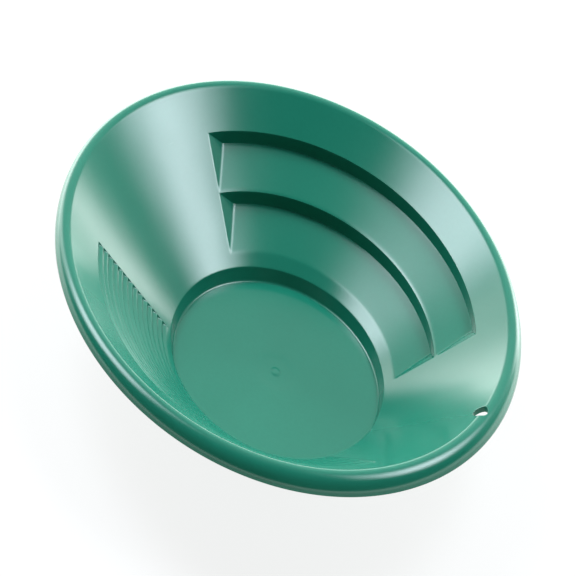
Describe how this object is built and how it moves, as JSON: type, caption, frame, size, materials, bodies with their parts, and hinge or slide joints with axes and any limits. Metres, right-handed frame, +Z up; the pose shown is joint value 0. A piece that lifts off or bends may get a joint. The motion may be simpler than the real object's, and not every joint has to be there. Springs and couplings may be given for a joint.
{
  "type": "gold pan",
  "caption": "Round plastic gold pan with a flat floor, a sloping wall with stepped trap riffles and fine riffles, a rounded down-turned lip and a hang hole.",
  "frame": {"origin": "middle of the floor's underside, where the pan stands", "axes": "+Z up along the pan's axis, out of the bowl; +Y towards the middle of the two big trap riffles; -Y towards the middle of the fine riffles; +X to the right, close to the hang hole"},
  "size_m": [0.3828, 0.3828, 0.0702],
  "materials": {
    "pan_plastic": "smooth glossy green moulded plastic"
  },
  "bodies": {
    "root": {"pan_moulding": "pan_plastic"}
  },
  "joints": []
}
